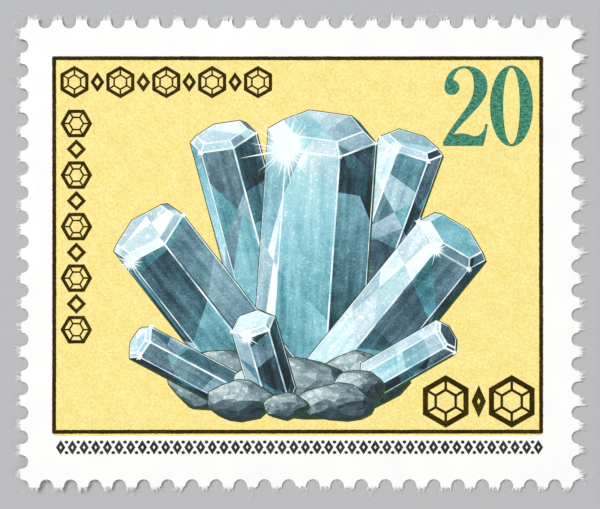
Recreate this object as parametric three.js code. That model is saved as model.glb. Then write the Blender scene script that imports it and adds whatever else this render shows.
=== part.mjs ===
// A postage stamp: one leaf of gummed paper, perforated and torn from its sheet on all four sides.
// Millimetres, +Z up. The stamp lies flat with its printed face up and its gummed back on Z = 0.
// The origin is at the centre of the back, +X runs to the right along the long side of the design,
// and +Y runs to the top of the design.

import * as THREE from 'three';

const paperThickness = 0.1;

// Perforation. A gauge is the number of holes in each gaugeLength of a row.
const gaugeLength = 20;
const gaugeAcross = 14;
const gaugeDown = 13.86;
const holesAcross = 24; // in each row along X, the two corner holes included
const holesDown = 20; // in each row along Y, the two corner holes included
const holeRadius = 0.4;

// Teeth. A tooth is the torn bridge between two holes, and narrows where its fibres pulled apart.
const shoulderReach = 0.1; // how far the round sides of a hole run past its row's centre line
const tipReach = 0.24; // how far a tooth stands past that line
const tipWidth = 0.44;

const arcSegments = 10;

const paperColour = '#f7f6f1';
const paperRoughness = 0.8;

// The centre lines of the four rows, as [along, outward] frames that go round counterclockwise.
const rowWidth = ((holesAcross - 1) * gaugeLength) / gaugeAcross;
const rowHeight = ((holesDown - 1) * gaugeLength) / gaugeDown;
const rows = [
  { turn: 0, holes: holesAcross, length: rowWidth, offset: rowHeight / 2 },
  { turn: Math.PI / 2, holes: holesDown, length: rowHeight, offset: rowWidth / 2 },
  { turn: Math.PI, holes: holesAcross, length: rowWidth, offset: rowHeight / 2 },
  { turn: -Math.PI / 2, holes: holesDown, length: rowHeight, offset: rowWidth / 2 },
];

// A point of a row: along it from its middle, and out from the stamp past its centre line.
function rowPoint(row, along, out) {
  return new THREE.Vector2(along, -(row.offset + out)).rotateAround(new THREE.Vector2(), row.turn);
}

// The two corners of a tooth's torn tip.
function toothTip(row, middle) {
  return [-tipWidth / 2, tipWidth / 2].map((side) => rowPoint(row, middle + side, tipReach));
}

// The side of one punched hole, from the tooth before it to the tooth after it. A corner hole turns
// on to the next row, so its arc is a quarter turn shorter.
function holeSide(row, along, isCorner) {
  const centre = rowPoint(row, along, 0);
  const shoulderAngle = Math.asin(shoulderReach / holeRadius);
  const start = row.turn + Math.PI + shoulderAngle;
  const end = row.turn - shoulderAngle + (isCorner ? Math.PI / 2 : 0);
  const arc = new THREE.EllipseCurve(centre.x, centre.y, holeRadius, holeRadius, start, end, true);
  return arc.getPoints(arcSegments);
}

function stampOutline() {
  const points = [];
  for (const row of rows) {
    const pitch = row.length / (row.holes - 1);
    for (let hole = 1; hole < row.holes; hole += 1) {
      const along = hole * pitch - row.length / 2;
      points.push(...toothTip(row, along - pitch / 2));
      points.push(...holeSide(row, along, hole === row.holes - 1));
    }
  }
  return new THREE.Shape(points);
}

function makeStamp() {
  const leaf = new THREE.ExtrudeGeometry(stampOutline(), { depth: paperThickness, bevelEnabled: false });
  const paper = new THREE.MeshStandardMaterial({
    color: paperColour,
    roughness: paperRoughness,
    metalness: 0,
  });
  const mesh = new THREE.Mesh(leaf, paper);
  mesh.name = 'stamp';
  return mesh;
}

const postageStamp = new THREE.Group();
postageStamp.add(makeStamp());

export default postageStamp;
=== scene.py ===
import math
import random

import bmesh
import bpy
from mathutils import Euler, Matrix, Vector
from mathutils.geometry import convex_hull_2d


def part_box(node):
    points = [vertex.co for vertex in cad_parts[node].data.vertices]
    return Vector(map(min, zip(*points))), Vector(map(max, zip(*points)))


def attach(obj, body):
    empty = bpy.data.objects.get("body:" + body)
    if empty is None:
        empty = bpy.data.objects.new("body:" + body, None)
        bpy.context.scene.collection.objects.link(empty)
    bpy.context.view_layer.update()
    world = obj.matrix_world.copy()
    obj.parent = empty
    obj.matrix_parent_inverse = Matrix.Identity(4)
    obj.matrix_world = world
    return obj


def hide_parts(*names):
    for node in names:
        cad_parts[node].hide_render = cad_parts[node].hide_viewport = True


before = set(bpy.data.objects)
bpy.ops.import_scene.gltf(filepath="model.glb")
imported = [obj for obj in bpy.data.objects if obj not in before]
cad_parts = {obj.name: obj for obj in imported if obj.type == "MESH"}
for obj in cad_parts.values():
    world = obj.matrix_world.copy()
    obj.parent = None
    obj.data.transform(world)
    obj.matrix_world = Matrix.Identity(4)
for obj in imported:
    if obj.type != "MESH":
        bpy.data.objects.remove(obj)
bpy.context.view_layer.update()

mm = 0.001
micron = 0.000001
cutGap = 0.1 * micron         # a corner this near to a cutting plane counts as on it
sameSpot = 0.5 * micron       # corners nearer to each other than this are one
straight = math.radians(0.1)  # a bend smaller than this is none
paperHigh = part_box("stamp")[1]
paperTop = paperHigh.z
print("frame loaded")


# taking up, editing and joining pieces

def either(rng, most):
    # a seeded number of either sign
    return rng.uniform(-most, most)


def anyWay(rng, low, high):
    # a seeded direction whose rise is between low and high
    return Vector((either(rng, 1), either(rng, 1), rng.uniform(low, high))).normalized()


def deselectAll():
    if bpy.context.object and bpy.context.object.mode != "OBJECT":
        bpy.ops.object.mode_set(mode="OBJECT")
    bpy.ops.object.select_all(action="DESELECT")


def takeUp(piece):
    deselectAll()
    piece.select_set(True)
    bpy.context.view_layer.objects.active = piece


def settle(piece):
    # puts a piece's place, turn and size into its mesh
    takeUp(piece)
    bpy.ops.object.transform_apply(location=True, rotation=True, scale=True)


def startPiece(name):
    # names the primitive just added
    piece = bpy.context.object
    piece.name = name
    piece.data.name = name
    settle(piece)
    return piece


def addDisc(name, sides, radius, place=(0, 0, 0), turn=0):
    # a flat polygon of one face
    deselectAll()
    bpy.ops.mesh.primitive_circle_add(
        vertices=sides, radius=radius, fill_type="NGON", location=place, rotation=(0, 0, turn))
    return startPiece(name)


def edit(piece):
    takeUp(piece)
    bpy.ops.object.mode_set(mode="EDIT")
    bpy.ops.mesh.select_all(action="SELECT")


def leaveEdit():
    bpy.ops.object.mode_set(mode="OBJECT")


def openMesh():
    return bmesh.from_edit_mesh(bpy.context.object.data)


def showChange():
    bmesh.update_edit_mesh(bpy.context.object.data)


def pick(kind, test):
    # selects the edges or faces of the edited piece that pass the test
    bpy.ops.mesh.select_mode(type="EDGE" if kind == "edges" else "FACE")
    bpy.ops.mesh.select_all(action="DESELECT")
    mesh = openMesh()
    for item in getattr(mesh, kind):
        if test(item):
            item.select_set(True)
    mesh.select_flush_mode()
    showChange()


def dropFaces(test):
    pick("faces", test)
    bpy.ops.mesh.delete(type="FACE")


def cutThrough(place, way, **more):
    # one straight cut through the whole of the edited piece
    bpy.ops.mesh.select_all(action="SELECT")
    bpy.ops.mesh.bisect(plane_co=place, plane_no=way, threshold=cutGap, **more)


def pullUp(height):
    # makes a closed block of the flat edited piece
    bpy.ops.mesh.extrude_region_move(TRANSFORM_OT_translate={"value": (0, 0, height)})
    bpy.ops.mesh.select_all(action="SELECT")
    bpy.ops.mesh.normals_make_consistent(inside=False)


def hollow(line, **more):
    # leaves only an edging of even width of what is selected
    bpy.ops.mesh.inset(thickness=line, **more)
    bpy.ops.mesh.delete(type="FACE")


def useModifier(piece, kind, **values):
    takeUp(piece)
    modifier = piece.modifiers.new(kind.title(), kind)
    for name, value in values.items():
        setattr(modifier, name, value)
    bpy.ops.object.modifier_apply(modifier=modifier.name)


def repeat(piece, count, offset):
    useModifier(piece, "ARRAY", count=count, use_relative_offset=False,
                use_constant_offset=True, constant_offset_displace=offset)
    return piece


def joinPieces(first, *others):
    takeUp(first)
    for other in others:
        other.select_set(True)
    bpy.ops.object.join()
    return first


def discard(piece):
    takeUp(piece)
    bpy.ops.object.delete()


def startCurve(name):
    # an empty curve, to be drawn in code
    deselectAll()
    bpy.ops.curve.primitive_bezier_curve_add()
    curve = bpy.context.object
    curve.name = name
    curve.data.splines.clear()
    return curve


def makeMesh(curve):
    takeUp(curve)
    bpy.ops.object.convert(target="MESH")
    return bpy.context.object


# the perforated leaf of paper

leaf = {
    "holesAcross": 24,            # in each row along X, corner holes included
    "holesDown": 20,
    "holeRadius": 0.40 * mm,
    "holeSides": 36,
    "holeTurn": math.radians(3),
    "punchWear": 0.006 * mm,      # how far a hole's edge strays from round
    "rowInset": 0.24 * mm,        # from the leaf's box to the centre lines of the holes
    "rowDrift": 0.045 * mm,       # how far the top row is to the left, and the bottom one to the right
    "cornerLift": 0.09 * mm,
    "cornerBias": (0.45, 0.35),   # how much more the left corners lift, and those at low left and top right
    "wave": 0.02 * mm,
    "waveTurn": (2.6, 2.2),       # radians from the middle to a side, along X and along Y
    "waveStart": (1.0, -0.6),
    "seed": 11,
}
rowX = paperHigh.x - leaf["rowInset"]
rowY = paperHigh.y - leaf["rowInset"]
pitchX = 2 * rowX / (leaf["holesAcross"] - 1)
pitchY = 2 * rowY / (leaf["holesDown"] - 1)
gridX = [-rowX + step * pitchX for step in range(leaf["holesAcross"])]
gridY = [-rowY + step * pitchY for step in range(leaf["holesDown"])]


def lift(x, y):
    # height of the leaf's back over the table: it lies flat but for its corners
    u, v = x / paperHigh.x, y / paperHigh.y
    toLeft, toPair = leaf["cornerBias"]
    (turnX, turnY), (startX, startY) = leaf["waveTurn"], leaf["waveStart"]
    uneven = 1 - toLeft * u + toPair * u * v
    ripple = 1 + math.sin(turnX * u + startX) * math.cos(turnY * v + startY)
    return leaf["cornerLift"] * (u * v) ** 2 * uneven + leaf["wave"] * ripple


def cutAlongRows():
    # cuts the edited piece along the lines from hole to hole
    for lines, way in ((gridX, Vector((1, 0, 0))), (gridY, Vector((0, 1, 0)))):
        reach = [vertex.co.dot(way) for vertex in openMesh().verts]
        for at in lines:
            if min(reach) < at < max(reach):
                cutThrough(way * at, way)


def followLeaf(piece):
    # bends a piece as the leaf does, at the lines from hole to hole
    edit(piece)
    cutAlongRows()
    for vertex in openMesh().verts:
        vertex.co.z += lift(vertex.co.x, vertex.co.y)
    showChange()
    leaveEdit()


def layPunches(start, step, count, across, drift):
    # a row of discs and its twin on the opposite side, which drifts the other way
    discs = addDisc("punches", leaf["holeSides"], leaf["holeRadius"], start, leaf["holeTurn"])
    repeat(discs, count, step)
    repeat(discs, 2, across)
    for vertex in discs.data.vertices:
        vertex.co.x -= math.copysign(drift, vertex.co.y)
    return discs


def makePunches():
    corner = Vector((-rowX, -rowY, -paperTop))
    across = layPunches(corner, (pitchX, 0, 0), leaf["holesAcross"], (0, 2 * rowY, 0), leaf["rowDrift"])
    besideCorner = corner + Vector((0, pitchY, 0))
    down = layPunches(besideCorner, (0, pitchY, 0), leaf["holesDown"] - 2, (2 * rowX, 0, 0), 0)
    punches = joinPieces(across, down)
    edit(punches)
    bpy.ops.transform.vertex_random(offset=leaf["punchWear"], seed=leaf["seed"])
    bpy.ops.transform.resize(value=(1, 1, 0))
    pullUp(3 * paperTop)
    leaveEdit()
    return punches


def makeLeaf():
    deselectAll()
    bpy.ops.mesh.primitive_cube_add(
        size=1, location=(0, 0, paperTop / 2), scale=(2 * rowX, 2 * rowY, paperTop))
    paper = startPiece("perforated_leaf")
    edit(paper)
    cutAlongRows()
    leaveEdit()
    punches = makePunches()
    useModifier(paper, "BOOLEAN", operation="DIFFERENCE", solver="EXACT", object=punches)
    discard(punches)
    return paper


# its teeth, where it was torn along the holes

tear = {
    "rings": 3,                   # rings of faces from the centre line out to a torn tip
    "cuts": 25,                   # across each tooth
    "rowReach": 2 * micron,       # how near to the centre line an edge is on it
    "reach": {"top": 0.16 * mm, "left": 0.10 * mm, "right": 0.24 * mm, "bottom": 0.15 * mm},
    "least": 0.12,                # this and the next five are parts of that reach
    "body": (0.25, 0.85),         # the same all over a tooth
    "slant": 0.25,                # more on one side of it
    "tuftLong": (0.25, 1.05),
    "jag": 0.28,                  # from each cut to the next
    "round": {"top": 0.10, "left": 0.15, "right": 0.50, "bottom": 0.20},   # less at its corners
    "tufts": (3, 5),              # pointed tufts on a tooth
    "tuftAt": 0.95,               # they stand within this part of its half width
    "tuftWide": (0.14, 0.34),
    "taper": {"top": 0.08, "left": 0.10, "right": 0.40, "bottom": 0.12},   # narrowing to the tip
    "taperVary": (0.3, 1.5),
    "thinning": 0.6,              # how much of the thickness is gone at the tip
    "ragged": 0.08,               # of the thickness
    "stray": 0.008 * mm,
    "bareStart": (0.01 * mm, 0.10 * mm),     # where the coating ends on a tooth
}
ringStep = 0.1 * mm


def sideOf(point):
    # the side of the leaf that a point on or past the centre lines is on
    if abs(point.x) - rowX > abs(point.y) - rowY:
        return "right" if point.x > 0 else "left"
    return "top" if point.y > 0 else "bottom"


def axisOf(side):
    return 0 if side in ("left", "right") else 1


def toothMiddle(side, point):
    if axisOf(side) == 0:
        return (math.floor((point.y + rowY) / pitchY) + 0.5) * pitchY - rowY
    drift = math.copysign(leaf["rowDrift"], point.y)
    return (math.floor((point.x + drift + rowX) / pitchX) + 0.5) * pitchX - rowX - drift


def tearTeeth(paper):
    # the paper between two holes tears a little past their line
    edit(paper)
    bpy.ops.mesh.remove_doubles(threshold=sameSpot)

    def onRow(item, axis):
        return all(abs(v.co[axis]) > (rowX, rowY)[axis] - tear["rowReach"] for v in item.verts)

    def rises(edge):
        return abs(edge.verts[0].co.z - edge.verts[1].co.z) > 0.5 * paperTop

    for axis in (0, 1):                      # one pair of sides at a time, so corners stay open
        pick("edges", lambda edge: onRow(edge, axis) and not rises(edge))
        bpy.ops.mesh.subdivide(number_cuts=tear["cuts"])
        pick("edges", lambda edge: onRow(edge, axis) and rises(edge))
        bpy.ops.mesh.subdivide(number_cuts=2)
    pick("faces", lambda face: onRow(face, 0) or onRow(face, 1))
    for _ in range(tear["rings"]):
        bpy.ops.mesh.extrude_region_move()
        for vertex in openMesh().verts:
            if vertex.select:
                axis = axisOf(sideOf(vertex.co))
                vertex.co[axis] += math.copysign(ringStep, vertex.co[axis])
        showChange()
    shapeTeeth()
    leaveEdit()


def shapeTeeth():
    # every ring is now a whole step out, and its corners are drawn back to their places
    rng = random.Random(leaf["seed"])
    teeth = {}
    columns = {}
    for vertex in sorted(openMesh().verts, key=lambda vertex: tuple(vertex.co)):
        side = sideOf(vertex.co)
        axis = axisOf(side)
        line, pitch = (rowX, pitchY) if axis == 0 else (rowY, pitchX)
        past = abs(vertex.co[axis]) - line
        if past < 0.5 * ringStep:
            continue
        middle = toothMiddle(side, vertex.co)
        spot = (side, round(middle / micron))
        if spot not in teeth:
            teeth[spot] = planTooth(side, rng)
        tooth = teeth[spot]
        along = vertex.co[1 - axis]
        across = (along - middle) / (0.5 * pitch - 0.9 * leaf["holeRadius"])   # nearly 1 at a corner
        column = columns.setdefault((side, round(along / micron)), either(rng, 1))
        out = past / ringStep / tear["rings"]
        shape = tooth["body"] + tooth["slant"] * across - tear["round"][side] * abs(across) ** 3
        for place, wide, tall in tooth["tufts"]:
            shape += tall * max(0, 1 - abs(across - place) / wide)
        shape += tear["jag"] * (column + either(rng, 0.5)) * out
        reach = tear["reach"][side] * max(tear["least"], shape)
        vertex.co[axis] = math.copysign(line + reach * out, vertex.co[axis])
        narrow = 1 - tooth["taper"] * out ** 1.5
        vertex.co[1 - axis] = middle + (along - middle) * narrow + either(rng, tear["stray"]) * out
        height = (vertex.co.z / paperTop - 0.5) * (1 - tear["thinning"] * out ** 2)
        vertex.co.z = paperTop * (0.5 + height + either(rng, tear["ragged"]) * out)
    showChange()


def planTooth(side, rng):
    tufts = [(either(rng, tear["tuftAt"]), rng.uniform(*tear["tuftWide"]), rng.uniform(*tear["tuftLong"]))
             for _ in range(rng.randint(*tear["tufts"]))]
    return {"tufts": tufts,
            "body": rng.uniform(*tear["body"]),
            "slant": either(rng, tear["slant"]),
            "taper": tear["taper"][side] * rng.uniform(*tear["taperVary"])}


paper = makeLeaf()
tearTeeth(paper)
followLeaf(paper)
print("leaf:", len(paper.data.polygons), "faces")


# what the inks and papers are made of

def rgb(red, green, blue):
    # a colour on the 0 to 255 scale, made linear
    def linear(value):
        value = value / 255
        return value / 12.92 if value <= 0.04045 else ((value + 0.055) / 1.055) ** 2.4
    return (linear(red), linear(green), linear(blue), 1)


def newFinish(name, roughness=0.5, specular=0.35):
    material = bpy.data.materials.new(name)
    material.use_nodes = True
    shader = material.node_tree.nodes["Principled BSDF"]
    shader.inputs["Roughness"].default_value = roughness
    shader.inputs["Specular IOR Level"].default_value = specular
    return material, material.node_tree, shader


def put(tree, kind, wires=None, **settings):
    # adds a node; wires are sockets to link or values to set, by input name or number
    node = tree.nodes.new("ShaderNode" + kind)
    for name, value in settings.items():
        setattr(node, name, value)
    for name, value in (wires or {}).items():
        if isinstance(value, bpy.types.NodeSocket):
            tree.links.new(value, node.inputs[name])
        else:
            node.inputs[name].default_value = value
    return node


def reckon(tree, operation, *values):
    return put(tree, "Math", dict(enumerate(values)), operation=operation).outputs[0]


def reckonWays(tree, operation, first, second, output="Value"):
    # the same for two places or directions
    return put(tree, "VectorMath", {0: first, 1: second}, operation=operation).outputs[output]


def weigh(tree, *parts):
    # the sum of some values, each times its own weight
    total = 0.0
    for value, weight in parts:
        total = reckon(tree, "MULTIPLY_ADD", value, weight, total)
    return total


def sway(tree, value, noise, amount):
    # moves a value up and down by a noise that is about a half on average
    return reckon(tree, "MULTIPLY_ADD", reckon(tree, "SUBTRACT", noise, 0.5), amount, value)


def fit(tree, value, low, high, start=0.0, end=1.0, **settings):
    wires = {"Value": value, "From Min": low, "From Max": high, "To Min": start, "To Max": end}
    return put(tree, "MapRange", wires, **settings).outputs[0]


def millimetres(tree, flat=True, turn=0.0, stretch=(1, 1)):
    # the piece's own coordinates in millimetres, flat where a pattern lies on the sheet
    place = put(tree, "TexCoord").outputs["Object"]
    scale = (stretch[0] / mm, stretch[1] / mm, 0 if flat else 1 / mm)
    return put(tree, "Mapping", {"Vector": place, "Scale": scale, "Rotation": (0, 0, turn)}).outputs[0]


def grain(tree, size, detail=2.0, roughness=0.5, place=None):
    # cloudy noise about `size` millimetres across, aslant so that its rows don't follow the sheet's sides
    place = place or millimetres(tree, turn=0.6)
    wires = {"Vector": place, "Scale": 1 / size, "Detail": detail, "Roughness": roughness}
    return put(tree, "TexNoise", wires).outputs["Fac"]


def blend(tree, factor, first, second, low=0.0, high=1.0):
    # mixes two colours by a factor that is first stretched from low to high
    wires = {0: fit(tree, factor, low, high), 6: first, 7: second}
    return put(tree, "Mix", wires, data_type="RGBA").outputs[2]


def colourBy(tree, shader, colour):
    tree.links.new(colour, shader.inputs["Base Color"])


def roughnessBy(tree, shader, factor, smooth, rough):
    tree.links.new(fit(tree, factor, 0.0, 1.0, smooth, rough), shader.inputs["Roughness"])


def relief(tree, shader, height, depth, strength=0.5):
    bump = put(tree, "Bump", {"Height": height, "Distance": depth, "Strength": strength})
    tree.links.new(bump.outputs[0], shader.inputs["Normal"])


paperFinish = {
    "coated": (rgb(244, 244, 242), rgb(250, 250, 247)),       # darker and lighter
    "torn": (rgb(222, 226, 232), rgb(245, 245, 244)),
    "fibre": (rgb(238, 241, 246), rgb(254, 254, 252)),
    "gum": (rgb(226, 217, 188), rgb(238, 232, 210)),
}


def coatedPaper():
    # fine pulp under the coating, and slow clouds in it
    material, tree, shader = newFinish("coatedPaper")
    pulp = grain(tree, size=0.09, detail=4.0, roughness=0.65)
    clouds = grain(tree, size=2.6, detail=3.0)
    mottle = weigh(tree, (pulp, 0.4), (clouds, 0.6))
    colourBy(tree, shader, blend(tree, mottle, *paperFinish["coated"], low=0.32, high=0.62))
    roughnessBy(tree, shader, pulp, smooth=0.48, rough=0.64)
    relief(tree, shader, pulp, depth=6 * micron)
    return material


def barePulp(name, colours, size, depth, roughness, specular):
    # paper without its coating, torn or as loose fibres
    material, tree, shader = newFinish(name, roughness, specular)
    strands = grain(tree, size, detail=3.0, roughness=0.7, place=millimetres(tree, flat=False))
    colourBy(tree, shader, blend(tree, strands, *colours, low=0.35, high=0.55))
    relief(tree, shader, strands, depth, strength=0.9)
    return material


def gummedPaper():
    # dried gum: fine ripples across the leaf, and shallow cells
    material, tree, shader = newFinish("gummedPaper")
    wires = {"Vector": millimetres(tree, turn=0.12), "Scale": 0.55, "Distortion": 3.5,
             "Detail": 3.0, "Detail Scale": 1.2}
    ripple = put(tree, "TexWave", wires, bands_direction="Y").outputs["Fac"]
    wires = {"Vector": millimetres(tree), "Scale": 1.6}
    cells = put(tree, "TexVoronoi", wires, feature="DISTANCE_TO_EDGE").outputs["Distance"]
    gum = weigh(tree, (ripple, 0.5), (cells, 1.2))
    colourBy(tree, shader, blend(tree, gum, *paperFinish["gum"]))
    roughnessBy(tree, shader, ripple, smooth=0.22, rough=0.42)
    relief(tree, shader, gum, depth=12 * micron)
    return material


def finishLeaf(paper):
    # coated printed side, gummed back, and bare pulp where it was punched and torn
    tornPaper = barePulp("tornPaper", paperFinish["torn"], size=0.035, depth=25 * micron,
                         roughness=0.95, specular=0.1)
    for material in (coatedPaper(), tornPaper, gummedPaper()):
        paper.data.materials.append(material)
    rng = random.Random(leaf["seed"])
    for face in sorted(paper.data.polygons, key=lambda face: [round(at / micron) for at in face.center]):
        past = max(abs(face.center.x) - rowX, abs(face.center.y) - rowY)
        if past > rng.uniform(*tear["bareStart"]) or abs(face.normal.z) < 0.7:    # torn or punched
            face.material_index = 1
        elif face.normal.z < 0:
            face.material_index = 2
    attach(paper, "root")
    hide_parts("stamp")


finishLeaf(paper)


# loose fibres at the torn teeth and in the holes

fibre = {
    "radius": 0.009 * mm,
    "vary": (0.8, 1.2),           # of that radius, from point to point
    "thinning": 0.6,              # how much of it is gone at the free end
    "points": 4,
    "thickness": (0.3, 0.8),      # the part of the paper's thickness that they come out of
    "rise": (-0.25, 0.30),        # per length
    "wander": 0.12,               # radians at each point
    "tufts": (5, 8),              # on each tooth
    "perTuft": (7, 12),
    "reach": {"top": 0.36 * mm, "left": 0.35 * mm, "right": 0.38 * mm, "bottom": 0.29 * mm},
    "share": (0.4, 1.2),          # of that reach
    "tuftRow": 0.24 * mm,         # how far to either side of a tooth's middle the tufts stand
    "tuftOut": (-0.02 * mm, 0.05 * mm),
    "tuftWidth": 0.035 * mm,
    "lean": (0.5, 0.3),           # radians, of a tuft and of a fibre in it
    "bend": (0.7, 0.5),
    "inHole": 0.75,               # how many of the holes have any
    "perHole": (2, 8),
    "wispDepth": 0.02 * mm,       # how deep in a hole's wall the wisps are rooted
    "wispArc": 1.6,               # radians to either side of the hole's innermost point
    "wispLean": 1.1,
    "wispBend": 1.5,
    "wispLength": (0.08 * mm, 0.30 * mm),
    "hairs": 64,                  # long single fibres
    "hairPoints": 11,
    "hairLean": 0.5,
    "hairBend": 2.8,
    "hairLength": (0.35 * mm, 1.25 * mm),
    "seed": 23,
}


def planTuft(side, outward, start, row, rng):
    # a bunch of fibres that lean and bend much alike
    lean = outward + either(rng, fibre["lean"][0])
    bend = either(rng, fibre["bend"][0])
    strands = []
    for _ in range(rng.randint(*fibre["perTuft"])):
        root = start + row * either(rng, fibre["tuftWidth"])
        root.z = paperTop * rng.uniform(*fibre["thickness"])
        heading = lean + either(rng, fibre["lean"][1])
        length = fibre["reach"][side] * rng.uniform(*fibre["share"])
        strands.append((root, heading, length, bend + either(rng, fibre["bend"][1])))
    return strands


def planWisps(outward, middle, rng):
    # short fibres that stand into a hole from its wall
    strands = []
    wall = leaf["holeRadius"] + fibre["wispDepth"]
    for _ in range(rng.randint(*fibre["perHole"])):
        way = outward + math.pi + either(rng, fibre["wispArc"])
        root = middle + Vector((math.cos(way), math.sin(way), 0)) * wall
        root.z = paperTop * rng.uniform(*fibre["thickness"])
        heading = way + math.pi + either(rng, fibre["wispLean"])
        length = rng.uniform(*fibre["wispLength"])
        strands.append((root, heading, length, either(rng, fibre["wispBend"])))
    return strands


def planSide(side, outward, rng):
    out = Vector((round(math.cos(outward)), round(math.sin(outward)), 0))
    row = Vector((abs(out.y), abs(out.x), 0))
    line, grid, pitch = (rowX, gridY, pitchY) if out.x else (rowY, gridX, pitchX)
    strands = []
    for at in grid[:-1]:
        for _ in range(rng.randint(*fibre["tufts"])):
            across = at + pitch / 2 + either(rng, fibre["tuftRow"])
            start = out * (line + rng.uniform(*fibre["tuftOut"])) + row * across
            strands += planTuft(side, outward, start, row, rng)
    for at in grid:
        if rng.random() < fibre["inHole"]:
            strands += planWisps(outward, out * line + row * at, rng)
    return strands


def addStrand(curve, root, heading, length, bend, points, rng):
    # one fibre: it leaves in its heading, bends steadily, and thins towards its free end
    spline = curve.data.splines.new("POLY")
    spline.points.add(points - 1)
    place = root.copy()
    step = length / (points - 1)
    rise = rng.uniform(*fibre["rise"])
    for index, point in enumerate(spline.points):
        x, y, z = place
        point.co = (x, y, max(z, 1.5 * fibre["radius"]) + lift(x, y), 1)
        point.radius = rng.uniform(*fibre["vary"]) * (1 - fibre["thinning"] * index / (points - 1))
        place += step * Vector((math.cos(heading), math.sin(heading), rise))
        heading += bend / (points - 1) + either(rng, fibre["wander"])


def growFibres():
    rng = random.Random(fibre["seed"])
    curve = startCurve("fibres")
    curve.data.bevel_depth = fibre["radius"]
    curve.data.bevel_resolution = 0
    curve.data.use_fill_caps = True
    strands = []
    for quarter, side in enumerate(("right", "top", "left", "bottom")):
        strands += planSide(side, quarter * math.pi / 2, rng)
    for root, heading, length, bend in strands:
        addStrand(curve, root, heading, length, bend, fibre["points"], rng)
    for root, heading, _, _ in rng.sample(strands, fibre["hairs"]):
        heading += either(rng, fibre["hairLean"])
        length = rng.uniform(*fibre["hairLength"])
        addStrand(curve, root, heading, length, either(rng, fibre["hairBend"]), fibre["hairPoints"], rng)
    return makeMesh(curve)


fibres = growFibres()
fibres.data.materials.append(barePulp("looseFibre", paperFinish["fibre"], size=0.05, depth=2 * micron,
                                      roughness=0.7, specular=0.3))
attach(fibres, "root")
print("fibres:", len(fibres.data.polygons), "faces")


# printing: each plate is a flat sheet that becomes a thin film of ink on the leaf

film = {
    "step": 5 * micron,           # each printing lies this much over the one before
    "sunk": 3 * micron,           # how far a film reaches into the paper
    "grainDepth": 4 * micron,
    "gloss": 0.12,
    "edgeStep": 0.13 * mm,        # distance between the corners of a ragged edge
}
inks = {                          # each main colour, and what it is flecked with
    "dark": (rgb(44, 33, 3), rgb(100, 82, 26)),
    "grey": (rgb(44, 43, 38), rgb(100, 99, 92)),
    "outline": (rgb(44, 68, 44), rgb(86, 112, 70)),
    "white": (rgb(246, 251, 251), rgb(214, 236, 240)),
    "paleYellow": (rgb(239, 219, 138), rgb(255, 241, 162)),
    "warmYellow": (rgb(239, 214, 124), rgb(255, 236, 148)),
    "green": (rgb(34, 100, 74), rgb(66, 148, 124)),
    "greenFleck": rgb(160, 194, 152),
}


def openPinches():
    # where two parts of the edited sheet only touch at a corner, the smallest face there goes
    while True:
        small = set()
        for vertex in openMesh().verts:
            if sum(edge.is_boundary for edge in vertex.link_edges) > 2:
                small.add(min(vertex.link_faces, key=lambda face: face.calc_area()).index)
        if not small:
            break
        dropFaces(lambda face: face.index in small)


def layFilm(piece, level, material):
    edit(piece)
    bpy.ops.mesh.remove_doubles(threshold=sameSpot)
    openPinches()
    pick("faces", lambda face: face.normal.z < 0)
    bpy.ops.mesh.flip_normals()
    leaveEdit()
    for vertex in piece.data.vertices:
        vertex.co.z = paperTop + level * film["step"]
    followLeaf(piece)
    useModifier(piece, "SOLIDIFY", thickness=level * film["step"] + film["sunk"], offset=-1)
    mapFlat(piece)
    piece.data.materials.clear()
    piece.data.materials.append(material)
    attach(piece, "root")
    print("printed", piece.name)


def mapFlat(piece):
    # a plain map from above, shared by the film's top and underside
    points = [vertex.co for vertex in piece.data.vertices]
    left, low = min(p.x for p in points), min(p.y for p in points)
    wide, tall = max(p.x for p in points) - left, max(p.y for p in points) - low
    spots = piece.data.uv_layers.new(name="OFBake")
    for loop in piece.data.loops:
        point = points[loop.vertex_index]
        spots.data[loop.index].uv = ((point.x - left) / wide, (point.y - low) / tall)


def addPlate(name, left, low, right, high):
    deselectAll()
    bpy.ops.mesh.primitive_plane_add(size=1, location=((left + right) / 2, (low + high) / 2, 0))
    bpy.context.object.scale = (right - left, high - low, 1)
    return startPiece(name)


def roughenEdges(piece, amount, seed, step=film["edgeStep"]):
    # the cells of the printing cylinder leave a printed edge slightly ragged
    edit(piece)
    while any(edge.calc_length() > step for edge in openMesh().edges):
        pick("edges", lambda edge: edge.calc_length() > step)
        bpy.ops.mesh.subdivide(number_cuts=1)
    bpy.ops.mesh.select_all(action="SELECT")
    bpy.ops.transform.vertex_random(offset=amount, seed=seed)
    leaveEdit()


def flatInk(ink, specular=film["gloss"]):
    # flecked where it took unevenly on the paper
    material, tree, shader = newFinish(ink + "Ink", specular=specular)
    fine = grain(tree, size=0.11, detail=3.0, roughness=0.6)
    uneven = sway(tree, fine, grain(tree, size=1.6, detail=1.0), amount=0.35)
    colourBy(tree, shader, blend(tree, uneven, *inks[ink], low=0.47, high=0.87))
    relief(tree, shader, fine, film["grainDepth"])
    return material


def yellowPrint():
    # a screened yellow: fine grain over soft warmer and paler patches
    material, tree, shader = newFinish("yellowInk", specular=film["gloss"])
    fine = grain(tree, size=0.15, detail=3.0, roughness=0.6)
    mottle = weigh(tree, (fine, 0.78), (grain(tree, size=0.5), 0.22))
    pale, warm = (blend(tree, mottle, *inks[ink], low=0.38, high=0.62)
                  for ink in ("paleYellow", "warmYellow"))
    patches = grain(tree, size=1.1, detail=4.0)
    colourBy(tree, shader, blend(tree, patches, pale, warm, low=0.3, high=0.7))
    relief(tree, shader, fine, film["grainDepth"])
    return material


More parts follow.
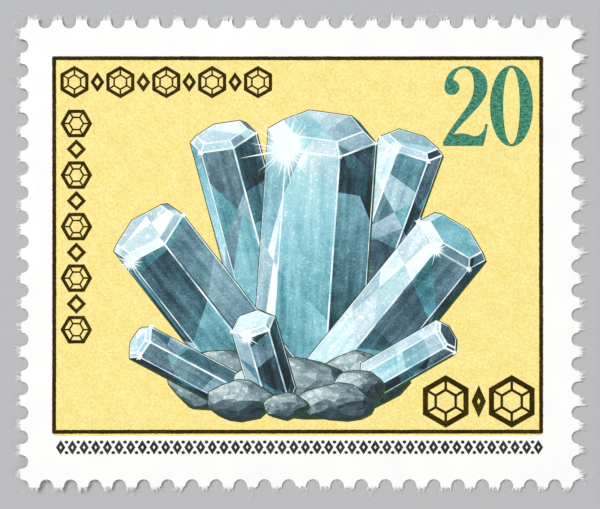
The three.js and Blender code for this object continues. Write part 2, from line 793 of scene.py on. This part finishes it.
def greenPrint():
    # the number's green breaks up into darker and pale flecks, longer along the sheet than across
    material, tree, shader = newFinish("greenInk", specular=film["gloss"])
    lying = millimetres(tree, turn=0.5, stretch=(0.6, 1.15))
    worms = grain(tree, size=0.15, detail=2.0, roughness=0.6, place=lying)
    flecks = grain(tree, size=0.10, detail=3.0, roughness=0.7, place=lying)
    green = blend(tree, worms, *inks["green"], low=0.38, high=0.62)
    colourBy(tree, shader, blend(tree, flecks, green, inks["greenFleck"], low=0.52, high=0.80))
    relief(tree, shader, worms, film["grainDepth"])
    return material


darkInk = flatInk("dark", specular=0.05)


# yellow ground and its frame line

design = {
    "wide": 28.98 * mm,
    "tall": 22.28 * mm,
    "middle": (-0.141 * mm, 0.524 * mm),
    "line": 0.232 * mm,
    "lineCorner": 0.12 * mm,
    "cornerCuts": 3,              # straight cuts that round each corner
    "lineRough": 0.018 * mm,
    "lineStep": 0.09 * mm,        # finer than the edges of the other inks
    "lineWander": 0.009 * mm,     # slower than the roughness, over the length after it
    "wanderStep": 1.0 * mm,
    "groundDrop": 0.12 * mm,      # the yellow is printed this much lower than the line
    "groundTuck": 0.07 * mm,      # and ends this much inside the line's outer edge
    "groundRough": 0.004 * mm,
    "groundStep": 0.9 * mm,
}
designLeft = design["middle"][0] - design["wide"] / 2
designRight = designLeft + design["wide"]
designLow = design["middle"][1] - design["tall"] / 2
designHigh = designLow + design["tall"]


def makeGround():
    tuck, drop = design["groundTuck"], design["groundDrop"]
    ground = addPlate("yellow_ground", designLeft + tuck, designLow - drop,
                      designRight - tuck, designHigh - tuck - drop / 2)
    roughenEdges(ground, design["groundRough"], seed=3, step=design["groundStep"])
    return ground


def makeFrameLine():
    line = addPlate("frame_line", designLeft, designLow, designRight, designHigh)
    edit(line)
    hollow(design["line"])
    bend = design["lineCorner"]
    quarter = design["cornerCuts"] + 1
    for step in range(4 * quarter):
        if step % quarter == 0:              # square to a side: nothing to cut there
            continue
        turn = step * math.pi / 2 / quarter
        way = Vector((math.cos(turn), math.sin(turn), 0))
        middle = Vector((designRight - bend if way.x > 0 else designLeft + bend,
                         designHigh - bend if way.y > 0 else designLow + bend, 0))
        cutThrough(middle + way * bend, way, clear_outer=True)
    leaveEdit()
    roughenEdges(line, design["lineWander"], seed=5, step=design["wanderStep"])
    roughenEdges(line, design["lineRough"], seed=4, step=design["lineStep"])
    return line


layFilm(makeGround(), 1, yellowPrint())
layFilm(makeFrameLine(), 2, darkInk)


# the number

number = {
    "right": 13.75 * mm,
    "foot": 6.37 * mm,
    "tall": 4.72 * mm,
    "twoWide": 2.72 * mm,
    "noughtWide": 2.54 * mm,
    "gap": 0.10 * mm,
    "over": 0.03 * mm,            # how far the round figure passes the flat one's foot and top
    "thick": 0.78 * mm,           # the stroke at its widest, and at its hairline
    "thin": 0.14 * mm,
    "smooth": 10,                 # straight pieces to a curve
}


def drawOutline(name, loops):
    # a filled flat curve; each point is its place, then the place of its handle on either side
    curve = startCurve(name)
    curve.data.dimensions = "2D"
    curve.data.fill_mode = "BOTH"
    curve.data.resolution_u = number["smooth"]
    for points in loops:
        spline = curve.data.splines.new("BEZIER")
        spline.bezier_points.add(len(points) - 1)
        spline.use_cyclic_u = True
        for bezier, (at, before, after) in zip(spline.bezier_points, points):
            bezier.handle_left_type = bezier.handle_right_type = "FREE"
            bezier.co = (at[0] * mm, at[1] * mm, 0)
            bezier.handle_left = (before[0] * mm, before[1] * mm, 0)
            bezier.handle_right = (after[0] * mm, after[1] * mm, 0)
    figure = makeMesh(curve)
    edit(figure)
    bpy.ops.mesh.remove_doubles(threshold=sameSpot)
    bpy.ops.mesh.dissolve_limited(angle_limit=straight)
    leaveEdit()
    return figure


def sharp(x, y):
    return ((x, y), (x, y), (x, y))


def oval(halfWide, halfTall):
    hand = 0.5523                 # the handle length that makes four curves a round
    return [((halfWide * x, halfTall * y),
             (halfWide * (x + hand * y), halfTall * (y - hand * x)),
             (halfWide * (x - hand * y), halfTall * (y + hand * x)))
            for x, y in ((1, 0), (0, 1), (-1, 0), (0, -1))]


def makeTwo():
    # a figure with a ball, a swelling bowl, a thin diagonal and a flicked foot
    return drawOutline("two", [[
        ((0.14, 3.42), (0.14, 3.16), (0.14, 4.22)),        # ball, outer side
        ((1.40, 4.72), (0.66, 4.72), (2.16, 4.72)),        # top
        ((2.68, 3.50), (2.68, 4.24), (2.68, 2.78)),        # bowl, outer side
        ((1.52, 1.66), (2.06, 2.22), (1.14, 1.26)),        # diagonal, right side
        ((0.66, 0.68), (0.84, 0.92), (0.98, 0.80)),        # diagonal meets the foot
        ((1.72, 0.62), (1.38, 0.76), (2.12, 0.46)),        # foot, upper side
        ((2.55, 1.30), (2.50, 0.78), (2.55, 1.30)),        # flick
        sharp(2.69, 1.30),
        ((2.42, 0.0), (2.62, 0.62), (2.42, 0.0)),
        sharp(0.05, 0.0),
        ((0.05, 0.22), (0.05, 0.22), (0.34, 0.84)),
        ((1.34, 2.14), (0.92, 1.56), (1.66, 2.58)),        # diagonal, left side
        ((1.87, 3.54), (1.87, 3.02), (1.87, 4.18)),        # bowl, inner side
        ((1.28, 4.58), (1.66, 4.58), (0.96, 4.58)),        # under the top
        ((0.66, 3.88), (0.72, 4.30), (0.86, 3.86)),        # ball, where the hairline comes in
        ((1.02, 3.44), (1.02, 3.68), (1.02, 3.20)),
        ((0.58, 3.01), (0.82, 3.01), (0.33, 3.01)),
    ]])


def makeNought():
    halfWide = number["noughtWide"] / 2 / mm
    halfTall = (number["tall"] / 2 + number["over"]) / mm
    inner = oval(halfWide - number["thick"] / mm, halfTall - number["thin"] / mm)
    return drawOutline("nought", [oval(halfWide, halfTall), inner])


def makeNumber():
    two, nought = makeTwo(), makeNought()
    noughtLeft = number["right"] - number["noughtWide"]
    two.location = (noughtLeft - number["gap"] - number["twoWide"], number["foot"], 0)
    nought.location = (noughtLeft + number["noughtWide"] / 2, number["foot"] + number["tall"] / 2, 0)
    for figure in (two, nought):
        settle(figure)
    figures = joinPieces(two, nought)
    figures.name = "number"
    return figures


layFilm(makeNumber(), 2, greenPrint())


# ornament in place of the lettering

bands = {
    # left, low, length, height and line in millimetres, gems, and turn about the left low corner
    "top_ornament": (-14.15, 9.18, 12.50, 1.92, 0.20, 5, 0),
    "side_ornament": (-12.27, -5.29, 13.80, 1.88, 0.20, 5, 90),
    "bold_ornament": (7.25, -10.27, 6.60, 3.12, 0.31, 2, 0),
}
band = {
    "gap": 0.55,                  # around a lozenge, as a part of the line
    "lozengeTall": 0.62,          # as a part of the gems' height
    "fine": 0.5,                  # a gem's inner lines, as a part of its outer line
    "core": 0.19,                 # its inner hexagon, as a part of its width
    "rough": 0.011 * mm,
}
caption = {
    "left": -14.40 * mm,
    "low": -11.85 * mm,
    "long": 28.75 * mm,
    "tall": 0.86 * mm,
    "lozenges": 42,
    "wide": 0.56 * mm,
    "line": 0.168 * mm,
    "dot": 0.21 * mm,
    "dotHeights": (0.14, 0.86),   # as parts of the height
    "rough": 0.006 * mm,
}


def addShape(sides, wide, tall, place):
    # a disc with a corner at its top, brought to its width and height
    shape = addDisc("shape", sides, 1 * mm)
    reach = [max(vertex.co[axis] for vertex in shape.data.vertices) for axis in (0, 1)]
    shape.scale = (wide / 2 / reach[0], tall / 2 / reach[1], 1)
    shape.location = (*place, 0)
    settle(shape)
    return shape


def addLozenge(wide, tall, line, place):
    # an outline of even width: inset, with its middle taken out
    lozenge = addShape(4, wide, tall, place)
    edit(lozenge)
    hollow(line)
    leaveEdit()
    return lozenge


def addGem(wide, tall, line, place):
    # a cut stone from above: a hexagon inset three times, and the wedges between cut out
    gem = addShape(6, wide, tall, (0, 0))
    fine = band["fine"] * line
    core = band["core"] * wide
    edit(gem)
    bpy.ops.mesh.inset(thickness=line - fine / 2)
    bpy.ops.mesh.inset(thickness=wide / 2 - line - core)
    hollow(fine / 2)
    pick("faces", lambda face: core < face.calc_center_median().length - fine / 2 < wide / 2 - line)
    hollow(fine / 2, use_individual=True)
    leaveEdit()
    gem.location = (*place, 0)
    settle(gem)
    return gem


def makeRow(name, main, between, count, pitch, place, turn, rough):
    # repeats one shape along a row, and another in the gaps
    row = joinPieces(repeat(main, count, (pitch, 0, 0)), repeat(between, count - 1, (pitch, 0, 0)))
    row.name = name
    row.location = (*place, 0)
    row.rotation_euler = (0, 0, math.radians(turn))
    settle(row)
    roughenEdges(row, rough, seed=count)
    return row


def makeBand(name):
    # gems with a lozenge between each pair
    left, low, length, tall, line = (value * mm for value in bands[name][:5])
    gems, turn = bands[name][5:]
    wide = tall * math.sqrt(3) / 2
    pitch = (length - wide) / (gems - 1)
    lozengeWide = pitch - wide - 2 * band["gap"] * line
    gem = addGem(wide, tall, line, (wide / 2, tall / 2))
    lozenge = addLozenge(lozengeWide, band["lozengeTall"] * tall, line, ((wide + pitch) / 2, tall / 2))
    return makeRow(name, gem, lozenge, gems, pitch, (left, low), turn, band["rough"])


def makeCaption():
    # lozenges with two dots between each pair
    wide, tall, dot, lozenges = (caption[key] for key in ("wide", "tall", "dot", "lozenges"))
    pitch = (caption["long"] - wide) / (lozenges - 1)
    lozenge = addLozenge(wide, tall, caption["line"], (wide / 2, tall / 2))
    dots = joinPieces(*[addShape(6, dot, dot, ((wide + pitch) / 2, part * tall))
                        for part in caption["dotHeights"]])
    place = (caption["left"], caption["low"])
    return makeRow("margin_ornament", lozenge, dots, lozenges, pitch, place, 0, caption["rough"])


for name in bands:
    layFilm(makeBand(name), 2, darkInk)
layFilm(makeCaption(), 1, flatInk("grey"))


# the picture: a group of crystals on their rock

picture = {
    "middle": (-0.05, -0.44),     # millimetres, as are all the sizes of the picture
    "light": (-0.55, 0.50, 0.67),
    "edge": 0.06,                 # half of a white line along an edge between two faces
    "tip": (0.14, 0.24),          # size of a crystal's cut tip, as a part of its radius
    "cuts": 6,                    # slanting planes through a crystal
    "cutRise": 0.9,               # how steep they may be
    "cutOff": 0.4,                # how far from its axis, as a part of its radius
    "cutAt": (0.35, 0.95),        # how far up, as a part of its length
    "sideOn": 0.3,                # a face that looks up less than this is seen from its side
    "outline": 0.05,              # dark line around each crystal
    "outlineHeavy": 1.6,          # how much heavier that line is at its lower right
    "darkest": 0.13,
    "brightest": 0.92,
    "facetSpread": 0.17,          # how far the tone of a facet strays
    "rockSpread": 0.09,
    "slope": 0.055,               # how fast a tone changes, per millimetre
    "slopeVary": (0.3, 1.6),
    "slopeUp": 0.3,               # and so much more of it up the sheet
    "rockRough": 0.11,
    "rockBreaks": 16,
    "breakRise": -0.2,            # the lowest way that a break may look
    "breakAt": (0.80, 0.82),      # as a part of the rock's half width
    "starCore": 0.20,             # as a part of the rays' reach and a little more
    "starMore": 0.35,
    "starRays": (0.45, 0.55, 0.65, 0.80, 1.0),
    "starVary": (0.8, 1.1),
    "starSway": 0.05,             # radians
    "cornerLight": 0.13,
    "cornerVary": (0.7, 1.3),
    "cornerRays": 7,
    "cornerLong": 1.6,            # about half of its rays are this much longer
    "cornerCore": 0.8,
    "cornerClear": 0.5,           # none this near to a glint
    "seed": 40,                   # of the crystal or rock at the back; each one after it has the next
    "glintSeed": 77,
}

# from the back to the front; a crystal: foot across and up from the picture's middle, lean to the
# left, tilt towards the eye, radius, length, turn about its own axis and flatness; a rock: middle
# across and up, half width and half height
group = {
    "crystal_back_left": (-1.4, -4.2, 15, 24, 2.05, 13.4, 12, 0.90),
    "crystal_back_right": (2.6, -4.2, -20, 20, 1.95, 12.8, 40, 0.95),
    "crystal_tall": (0.4, -6.4, -4, 27, 3.25, 16.2, 20, 0.85),
    "crystal_left": (-2.2, -6.9, 38, 30, 2.45, 12.9, 8, 0.90),
    "crystal_right": (2.05, -7.4, -39, 30, 2.40, 13.2, 50, 0.85),
    "rock_left": (-4.9, -7.0, 3.3, 2.0),
    "rock_right": (3.4, -7.1, 3.1, 1.9),
    "crystal_small_right": (4.2, -7.0, -60, 24, 1.10, 5.8, 30, 0.95),
    "crystal_small_left": (-3.9, -7.7, 62, 26, 1.15, 7.1, 15, 0.95),
    "rock_middle": (-0.4, -7.5, 3.9, 2.0),
    "crystal_front": (-1.5, -7.9, 16, 38, 1.35, 5.8, 35, 0.90),
    "rock_front_left": (-3.5, -8.2, 2.3, 1.2),
    "rock_foot_right": (3.5, -7.5, 1.5, 1.15),
    "rock_front_right": (2.1, -8.3, 2.5, 1.15),
    "rock_foot_middle": (-0.75, -8.50, 1.35, 0.78),
}
# at which crystal, at which of its front corners from the left, reach of the rays, how many
glints = {
    "glint_large": ("crystal_tall", 0, 2.6, 30),
    "glint_right": ("crystal_right", 1, 0.95, 18),
    "glint_left": ("crystal_left", 0, 1.0, 18),
    "glint_low": ("crystal_front", 1, 0.85, 16),
}
lightWay = Vector(picture["light"]).normalized()
heavyWay = Vector((0.6, -0.8))
shortSide = 0.02 * mm         # a shorter side or a smaller turn isn't kept in an outline
leastTurn = 0.002


def outlineOf(piece):
    # the piece's convex outline from above, as corners in order round it
    points = [vertex.co.xy for vertex in piece.data.vertices]
    ring = [points[index] for index in convex_hull_2d(points)]
    area = sum(ring[i - 1].cross(ring[i]) for i in range(len(ring)))
    ring = ring if area > 0 else ring[::-1]
    spaced = [point for i, point in enumerate(ring) if (point - ring[i - 1]).length > shortSide]
    corners = []
    for i, point in enumerate(spaced):
        ahead = (spaced[(i + 1) % len(spaced)] - point).normalized()
        if (point - spaced[i - 1]).normalized().cross(ahead) > leastTurn:
            corners.append(point)
    return corners


def sidesOf(outline):
    # a point on each side of an outline, and the way out of it
    sides = []
    for i, point in enumerate(outline):
        side = point - outline[i - 1]
        sides.append((point, Vector((side.y, -side.x)).normalized()))
    return sides


def within(point, sides):
    return all(out.dot(point - onSide) < 0 for onSide, out in sides)


def widen(outline, reach):
    # moves every side of a convex outline outwards, those to the lower right the most
    lines = []
    for point, out in sidesOf(outline):
        heavier = picture["outlineHeavy"] * max(0, out.dot(heavyWay))
        lines.append((out, out.dot(point) + reach * (1 + heavier)))
    corners = []
    for i, (out, level) in enumerate(lines):
        lastOut, lastLevel = lines[i - 1]
        turn = lastOut.cross(out)
        corners.append(Vector(((lastLevel * out.y - level * lastOut.y) / turn,
                               (level * lastOut.x - lastLevel * out.x) / turn)))
    return corners


def cutOut(piece, outline):
    # takes away what lies inside a convex outline, side by side
    edit(piece)
    sides = sidesOf(outline)
    for done, (point, out) in enumerate(sides):
        pick("faces", lambda face: within(face.calc_center_median().xy, sides[:done]))
        if not any(face.select for face in openMesh().faces):
            break
        bpy.ops.mesh.bisect(plane_co=(*point, 0), plane_no=(*out, 0), threshold=cutGap)
    dropFaces(lambda face: within(face.calc_center_median().xy, sides))
    leaveEdit()


def addMarks(piece):
    # what the ink reads from each face: tone and its slope, white edge, way of the streaks, tint
    for name in ("shade", "streak"):
        piece.data.attributes.new(name, "FLOAT_VECTOR", "FACE")
    for name in ("rim", "tint"):
        piece.data.attributes.new(name, "FLOAT", "FACE")


def planFacet(face, spread, rng):
    # a tone from the light and a seeded difference, a slope across the sheet, and a tint
    lit = max(0.0, face.normal.dot(lightWay))
    tone = picture["darkest"] + (picture["brightest"] - picture["darkest"]) * lit
    tone += either(rng, spread)
    turn = rng.uniform(0, 2 * math.pi)
    slope = Vector((math.cos(turn), math.sin(turn))) * picture["slope"] * rng.uniform(*picture["slopeVary"])
    slope.y += picture["slope"] * picture["slopeUp"]
    middle = face.calc_center_median().xy / mm
    return (tone - slope.dot(middle), slope.x, slope.y), rng.random()


def pressFlat(piece, spread, rng, axis=None):
    # marks every facet of a solid, then keeps the faces that look up and lays them flat
    edit(piece)
    mesh = openMesh()
    vectors, numbers = mesh.faces.layers.float_vector, mesh.faces.layers.float
    keys = mesh.faces.layers.int.get("facet")
    facets = {}
    for face in mesh.faces:
        key = face[keys] if keys else face.index
        if key not in facets:
            facets[key] = planFacet(face, spread, rng)
        face[vectors.get("shade")], face[numbers.get("tint")] = facets[key]
        if axis and face.normal.dot(axis) < picture["sideOn"]:       # streaks, but not on a tip
            face[vectors.get("streak")] = (*axis.xy.normalized(), 0)
        if face.normal.z < picture["sideOn"]:                        # no white edge there
            face[numbers.get("rim")] = 0.0
    showChange()
    dropFaces(lambda face: face.normal.z < 0.02)
    for vertex in openMesh().verts:
        vertex.co.z = 0
    showChange()
    leaveEdit()


def whitenEdges():
    # a narrow strip along the edges of each face of the edited piece
    bpy.ops.mesh.select_all(action="SELECT")
    bpy.ops.mesh.inset(use_individual=True, thickness=picture["edge"] * mm)
    mesh = openMesh()
    rim = mesh.faces.layers.float.get("rim")
    for face in mesh.faces:
        face[rim] = 0.0 if face.select else 1.0
    showChange()


def cutFacets(radius, length, rng):
    # slanting planes through the edited crystal show as inner facets, each with its own key
    planes = []
    for _ in range(picture["cuts"]):
        way = anyWay(rng, -picture["cutRise"], picture["cutRise"])
        at = Vector((either(rng, picture["cutOff"]) * radius, either(rng, picture["cutOff"]) * radius,
                     rng.uniform(*picture["cutAt"]) * length)) * mm
        cutThrough(at, way)
        planes.append((at, way))
    mesh = openMesh()
    keys = mesh.faces.layers.int.new("facet")
    for face in mesh.faces:
        middle = face.calc_center_median()
        inner = sum(2 ** i for i, (at, way) in enumerate(planes) if way.dot(middle - at) > 0)
        side = round(math.atan2(face.normal.y, face.normal.x) * 12)
        level = round(face.normal.z * 4)
        face[keys] = inner + 100 * side + 10000 * level     # where it is cut, and which way it looks
    showChange()


def growCrystal(name, plan, seed):
    # a six-sided column with a cut tip; the front corners of its shoulders come with it, from the left
    footX, footY, lean, tilt, radius, length, turn, flatness = plan
    rng = random.Random(seed)
    top = length * mm
    deselectAll()
    bpy.ops.mesh.primitive_cylinder_add(
        vertices=6, radius=radius * mm, depth=top, location=(0, 0, top / 2),
        rotation=(0, 0, math.radians(turn)))
    crystal = startPiece(name)
    addMarks(crystal)
    edit(crystal)
    bpy.ops.transform.resize(value=(1, flatness, 1))
    pick("edges", lambda edge: all(vertex.co.z > 0.99 * top for vertex in edge.verts))
    bpy.ops.mesh.bevel(offset=rng.uniform(*picture["tip"]) * radius * mm, segments=1, affect="EDGES")
    shoulders = {tuple(vertex.co) for vertex in openMesh().verts if 0.5 * top < vertex.co.z < 0.999 * top}
    whitenEdges()
    cutFacets(radius, length, rng)
    leaveEdit()
    place = Vector((footX + picture["middle"][0], footY + picture["middle"][1], 0)) * mm
    pose = Euler((-math.radians(90 - tilt), 0, math.radians(lean)))
    crystal.location, crystal.rotation_euler = place, pose
    settle(crystal)
    pressFlat(crystal, picture["facetSpread"], rng, axis=pose.to_matrix() @ Vector((0, 0, 1)))
    corners = sorted((pose.to_matrix() @ Vector(at) + place for at in shoulders), key=lambda at: -at.z)
    return crystal, sorted((at.xy for at in corners[:3]), key=lambda at: at.x)


def breakRock(name, plan, seed):
    x, y, halfWide, halfTall = plan
    rng = random.Random(seed)
    deselectAll()
    bpy.ops.mesh.primitive_ico_sphere_add(subdivisions=3, radius=1 * mm)
    rock = startPiece(name)
    addMarks(rock)
    edit(rock)
    bpy.ops.transform.vertex_random(offset=picture["rockRough"] * mm, seed=seed)
    for _ in range(picture["rockBreaks"]):   # flat breaks
        way = anyWay(rng, picture["breakRise"], 1)
        for vertex in openMesh().verts:
            over = vertex.co.dot(way) - rng.uniform(*picture["breakAt"]) * mm
            if over > 0:
                vertex.co -= way * over
    showChange()
    leaveEdit()
    rock.scale = (halfWide, halfTall, halfTall)
    rock.location = ((x + picture["middle"][0]) * mm, (y + picture["middle"][1]) * mm, 0)
    settle(rock)
    pressFlat(rock, picture["rockSpread"], rng)
    return rock


def addBacking(outlines):
    # a dark sheet behind the whole group, which shows as the line round each crystal
    blocks = []
    for outline in outlines:
        block = addDisc("picture_outline", len(outline), 1 * mm)
        for vertex, point in zip(block.data.vertices, outline):
            vertex.co = (*point, 0)
        edit(block)
        pullUp(1 * mm)
        leaveEdit()
        blocks.append(block)
    backing = blocks[0]
    for block in blocks[1:]:
        useModifier(backing, "BOOLEAN", operation="UNION", solver="EXACT", object=block)
        discard(block)
    edit(backing)
    dropFaces(lambda face: face.normal.z < 0.5)
    bpy.ops.mesh.select_all(action="SELECT")
    bpy.ops.mesh.dissolve_limited(angle_limit=straight)
    leaveEdit()
    backing.name = "picture_outline"
    return backing


tones = {                         # from dark to light, each at its place between 0 and 1
    "steel": {0.0: (14, 30, 34), 0.14: (40, 68, 80), 0.28: (76, 108, 122), 0.44: (116, 152, 166),
              0.60: (156, 190, 202), 0.76: (192, 219, 228), 0.90: (224, 242, 247), 1.0: (250, 254, 254)},
    "cyan": {0.0: (12, 34, 34), 0.14: (28, 74, 84), 0.28: (62, 124, 136), 0.44: (104, 170, 182),
             0.60: (144, 204, 215), 0.76: (182, 227, 234), 0.90: (216, 245, 248), 1.0: (246, 254, 254)},
    "rock": {0.0: (16, 28, 30), 0.25: (44, 66, 72), 0.50: (88, 112, 118), 0.75: (148, 170, 172),
             1.0: (222, 236, 234)},
}
toning = {                        # how far each noise moves a tone
    "streaks": 0.45,
    "streakAcross": 2.6,          # how fast they change across a crystal, per millimetre
    "streakAlong": 0.16,
    "clouds": 0.35,
    "crystalGrain": 0.40,
    "rockGrain": 0.35,
    "flecks": 0.45,               # pale ones, more of them the lighter the tone
    "edges": (0.35, 1.0),         # how white the edges come up, here and there
    "glow": 0.6,                  # at a glint, fading out over this part of its rays' reach
    "glowReach": 0.7,
    "tint": (0.35, 0.85),         # facets below take the first colours, and those above the second
}


def colourRamp(tree, tone, colours):
    ramp = put(tree, "ValToRGB", {"Fac": tone})
    points = ramp.color_ramp.elements
    while len(points) < len(colours):
        points.new(0.5)
    for point, (at, colour) in zip(points, colours.items()):
        point.position = at
        point.color = rgb(*colour)
    return ramp.outputs["Color"]


def slopingTone(tree, place, shade):
    # a facet's own tone and its change across the sheet
    spot = put(tree, "SeparateXYZ", {0: place}).outputs
    plane = put(tree, "CombineXYZ", {0: 1.0, 1: spot[0], 2: spot[1]}).outputs[0]
    return reckonWays(tree, "DOT_PRODUCT", shade, plane)


def streaksAlong(tree, place, way):
    # streaks run along a crystal: they change quickly across it and slowly along it
    along = reckonWays(tree, "DOT_PRODUCT", way, place)
    turned = reckonWays(tree, "CROSS_PRODUCT", way, place, output="Vector")
    across = put(tree, "SeparateXYZ", {0: turned}).outputs[2]
    spot = put(tree, "CombineXYZ", {0: reckon(tree, "MULTIPLY", across, toning["streakAcross"]),
                                    1: reckon(tree, "MULTIPLY", along, toning["streakAlong"])})
    return grain(tree, size=1.0, detail=3.0, place=spot.outputs[0])


def toneInk(name, first, second, grainAmount, lights):
    # tone from the facets, the light round the glints and the print's grain, then a colour ramp
    material, tree, shader = newFinish(name)
    place = millimetres(tree)
    marks = {mark: put(tree, "Attribute", attribute_name=mark).outputs
             for mark in ("shade", "rim", "streak", "tint")}
    speckle = grain(tree, size=0.11, detail=2.0, roughness=0.7)
    tone = slopingTone(tree, place, marks["shade"]["Vector"])
    tone = sway(tree, tone, streaksAlong(tree, place, marks["streak"]["Vector"]), toning["streaks"])
    tone = sway(tree, tone, grain(tree, size=0.9, detail=3.0, roughness=0.6), toning["clouds"])
    tone = sway(tree, tone, speckle, grainAmount)
    flecks = fit(tree, grain(tree, size=0.24), low=0.58, high=0.78, end=toning["flecks"])
    tone = reckon(tree, "MULTIPLY_ADD", flecks, tone, tone)
    # the edges come up white, more here and less there
    least, most = toning["edges"]
    worn = fit(tree, grain(tree, size=1.3), low=0.30, high=0.55, start=least, end=most)
    edge = reckon(tree, "MULTIPLY", worn, marks["rim"]["Fac"])
    tone = reckon(tree, "MULTIPLY_ADD", edge, reckon(tree, "SUBTRACT", 1.0, tone), tone)
    for at, reach in lights:
        away = reckonWays(tree, "DISTANCE", place, (*at, 0))
        glow = fit(tree, away, low=toning["glowReach"] * reach, high=0.0, end=toning["glow"],
                   interpolation_type="SMOOTHERSTEP")
        tone = reckon(tree, "ADD", tone, glow)
    ramps = (colourRamp(tree, tone, colours) for colours in (first, second))
    colourBy(tree, shader, blend(tree, marks["tint"]["Fac"], *ramps, *toning["tint"]))
    relief(tree, shader, speckle, film["grainDepth"])
    return material


def addStar(name, at, rays, lengths, core, rng):
    # a star with many thin rays of uneven length, or with short ones a small light
    star = addDisc(name, 2 * rays, 1 * mm)
    for index, vertex in enumerate(star.data.vertices):
        size = (rng.choice(lengths) if index % 2 else core) * rng.uniform(*picture["starVary"]) * mm
        turn = math.atan2(vertex.co.y, vertex.co.x) + either(rng, picture["starSway"])
        vertex.co = (at.x + size * math.cos(turn), at.y + size * math.sin(turn), 0)
    return star


def addCornerLights(pieces, corners, lights, rng):
    # small white lights where the edges of a crystal meet, unless hidden or at a glint
    dots = []
    for i, (piece, _) in enumerate(pieces):
        for at in corners.get(piece.name, []):
            hidden = any(within(at, sidesOf(front)) for _, front in pieces[i + 1:])
            glinting = any((at / mm - middle).length < picture["cornerClear"] for middle, _ in lights)
            if not hidden and not glinting:
                size = picture["cornerLight"] * rng.uniform(*picture["cornerVary"])
                lengths, core = [size, size * picture["cornerLong"]], size * picture["cornerCore"]
                dots.append(addStar("dot", at, picture["cornerRays"], lengths, core, rng))
    dots = joinPieces(*dots)
    dots.name = "corner_lights"
    return dots


def printPicture():
    pieces = []
    corners = {}
    for seed, (name, plan) in enumerate(group.items(), picture["seed"]):
        if name.startswith("crystal"):
            piece, corners[name] = growCrystal(name, plan, seed)
        else:
            piece = breakRock(name, plan, seed)
        pieces.append((piece, widen(outlineOf(piece), picture["outline"] * mm)))
    for i, (piece, _) in enumerate(pieces):
        for _, front in pieces[i + 1:]:
            cutOut(piece, front)
    backing = addBacking([outline for _, outline in pieces])
    layFilm(backing, 2, flatInk("outline"))

    lights = [(corners[crystal][which] / mm, reach) for crystal, which, reach, _ in glints.values()]
    crystalInk = toneInk("crystalInk", tones["steel"], tones["cyan"], toning["crystalGrain"], lights)
    rockInk = toneInk("rockInk", tones["rock"], tones["rock"], toning["rockGrain"], lights)
    for piece, _ in pieces:
        layFilm(piece, 3, crystalInk if piece.name.startswith("crystal") else rockInk)

    whiteInk = flatInk("white")
    rng = random.Random(picture["glintSeed"])
    for name, (crystal, which, reach, rays) in glints.items():
        lengths = [reach * part for part in picture["starRays"]]
        core = picture["starCore"] * (reach + picture["starMore"])
        layFilm(addStar(name, corners[crystal][which], rays, lengths, core, rng), 4, whiteInk)
    layFilm(addCornerLights(pieces, corners, lights, rng), 4, whiteInk)


printPicture()


# floor, light and camera

view = {
    "width": 35.44 * mm,          # of what the camera sees at the height of the print
    "middle": (-0.003 * mm, -0.038 * mm),
    "lens": 85,
    "sensor": 36,
}
studio = {
    "floorSize": 3.0,
    "floorColour": (0.47, 0.47, 0.475, 1),
    "key": ((-1.10, 0.90, 1.50), 0.90, 34.0),    # place, size and power
    "fill": ((1.50, -0.60, 1.20), 1.60, 12.4),
    "worldColour": (0.92, 0.94, 0.96, 1),
    "worldStrength": 0.38,
}


def addFloor():
    deselectAll()
    bpy.ops.mesh.primitive_plane_add(size=studio["floorSize"], location=(0, 0, 0))
    floor = startPiece("floor")
    paint, _, shader = newFinish("floorPaint", roughness=0.8, specular=0.5)
    shader.inputs["Base Color"].default_value = studio["floorColour"]
    floor.data.materials.append(paint)


def addLight(name):
    place, size, power = studio[name]
    bpy.ops.object.light_add(type="AREA", location=place)
    light = bpy.context.object
    light.name = name
    light.data.size = size
    light.data.energy = power
    light.rotation_euler = (-Vector(place)).to_track_quat("-Z", "Y").to_euler()


def addCamera():
    # straight above the leaf, at the distance where the view is as wide as it should be
    height = view["width"] * view["lens"] / view["sensor"] + paperTop
    bpy.ops.object.camera_add(location=(*view["middle"], height), rotation=(0, 0, 0))
    camera = bpy.context.object
    camera.data.lens = view["lens"]
    camera.data.sensor_width = view["sensor"]
    camera.data.clip_start = 1 * mm
    camera.data.clip_end = 10
    bpy.context.scene.camera = camera


def addWorld():
    world = bpy.data.worlds.new("studio")
    world.use_nodes = True
    background = world.node_tree.nodes["Background"]
    background.inputs["Color"].default_value = studio["worldColour"]
    background.inputs["Strength"].default_value = studio["worldStrength"]
    bpy.context.scene.world = world
    bpy.context.scene.view_settings.view_transform = "Standard"


addFloor()
addLight("key")
addLight("fill")
addCamera()
addWorld()
print("floor, light and camera set")
